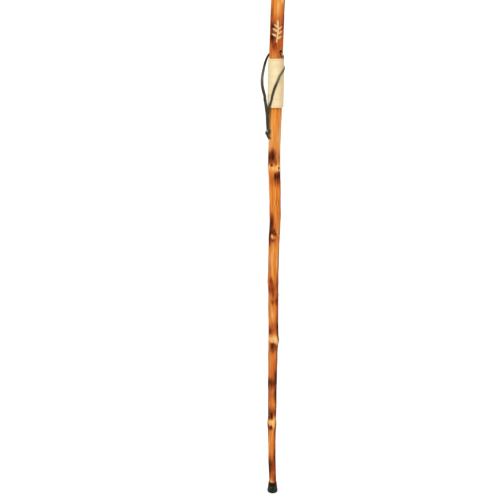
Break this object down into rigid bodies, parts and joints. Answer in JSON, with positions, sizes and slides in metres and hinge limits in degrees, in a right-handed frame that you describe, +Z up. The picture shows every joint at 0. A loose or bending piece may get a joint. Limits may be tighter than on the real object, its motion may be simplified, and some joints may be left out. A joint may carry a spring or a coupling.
{
  "type": "hiking staff",
  "caption": "Tapering scorched wooden hiking staff with a cream leather grip sleeve, a leather wrist thong knotted through the shaft, and a flared rubber foot.",
  "frame": {"origin": "centre of the ferrule's sole, where the staff meets the ground", "axes": "+Z up along the staff to its head; -Y towards the side that carries the carving; +X to the right of someone looking at that side"},
  "size_m": [0.0623, 0.0457, 1.4],
  "materials": {
    "scorched_wood": "satin varnish",
    "cream_leather": "matte",
    "linen_thread": "waxed",
    "dark_lace": "oiled",
    "black_rubber": "moulded",
    "steel": "plain"
  },
  "bodies": {
    "staff": {"shaft": "scorched_wood", "grip_sleeve": "cream_leather", "grip_stitching": "linen_thread", "ferrule": "black_rubber", "ferrule_washer": "steel", "thong_in_hole": "dark_lace", "thong_left_upper": "dark_lace", "thong_right_upper": "dark_lace"},
    "thong_loop": {"thong_left_lower": "dark_lace", "thong_right_lower": "dark_lace", "thong_knot": "dark_lace", "thong_tails": "dark_lace"}
  },
  "joints": [
    {"name": "thong_swing", "type": "hinge", "parent": "staff", "child": "thong_loop", "pos_m": [-0.0325, -0.0085, 1.142], "axis": [-0.8496, 0.5275, 0], "range_deg": [0, 90]}
  ]
}
